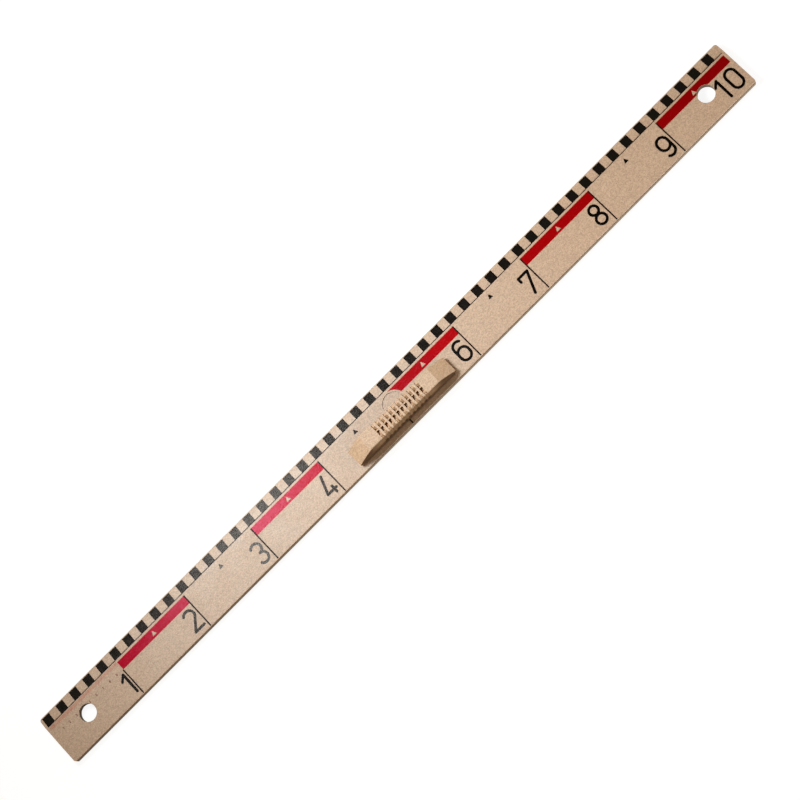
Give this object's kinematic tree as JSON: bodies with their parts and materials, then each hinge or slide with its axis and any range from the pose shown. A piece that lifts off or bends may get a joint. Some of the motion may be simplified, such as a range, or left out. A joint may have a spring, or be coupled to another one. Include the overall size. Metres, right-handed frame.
{
  "type": "board ruler",
  "caption": "Wooden one metre board ruler with a bevelled edge scale, red and black print, a hanging hole near each end and a ribbed grip in the middle",
  "frame": {"origin": "Middle of the back face of the blade: halfway along the ruler, halfway across it, at the level of the flat back", "axes": "+X along the ruler toward the 10 decimetre end, +Y across the blade toward the bevelled graduated edge, +Z out of the back face toward the grip"},
  "size_m": [1.006, 0.061, 0.028],
  "materials": {
    "blade_wood": "satin",
    "grip_wood": "satin",
    "screw_steel": "zinc plated",
    "black_print": "gloss",
    "red_print": "gloss",
    "rust_print": "matt"
  },
  "bodies": {
    "root": {"blade": "blade_wood", "grip": "grip_wood", "grip_screws": "screw_steel", "scale_steps": "black_print", "baseline": "black_print", "red_bands": "red_print", "decimetre_lines": "black_print", "numerals": "black_print", "mid_marks": "black_print", "millimetre_lines": "rust_print", "small_numerals": "rust_print"}
  },
  "joints": []
}
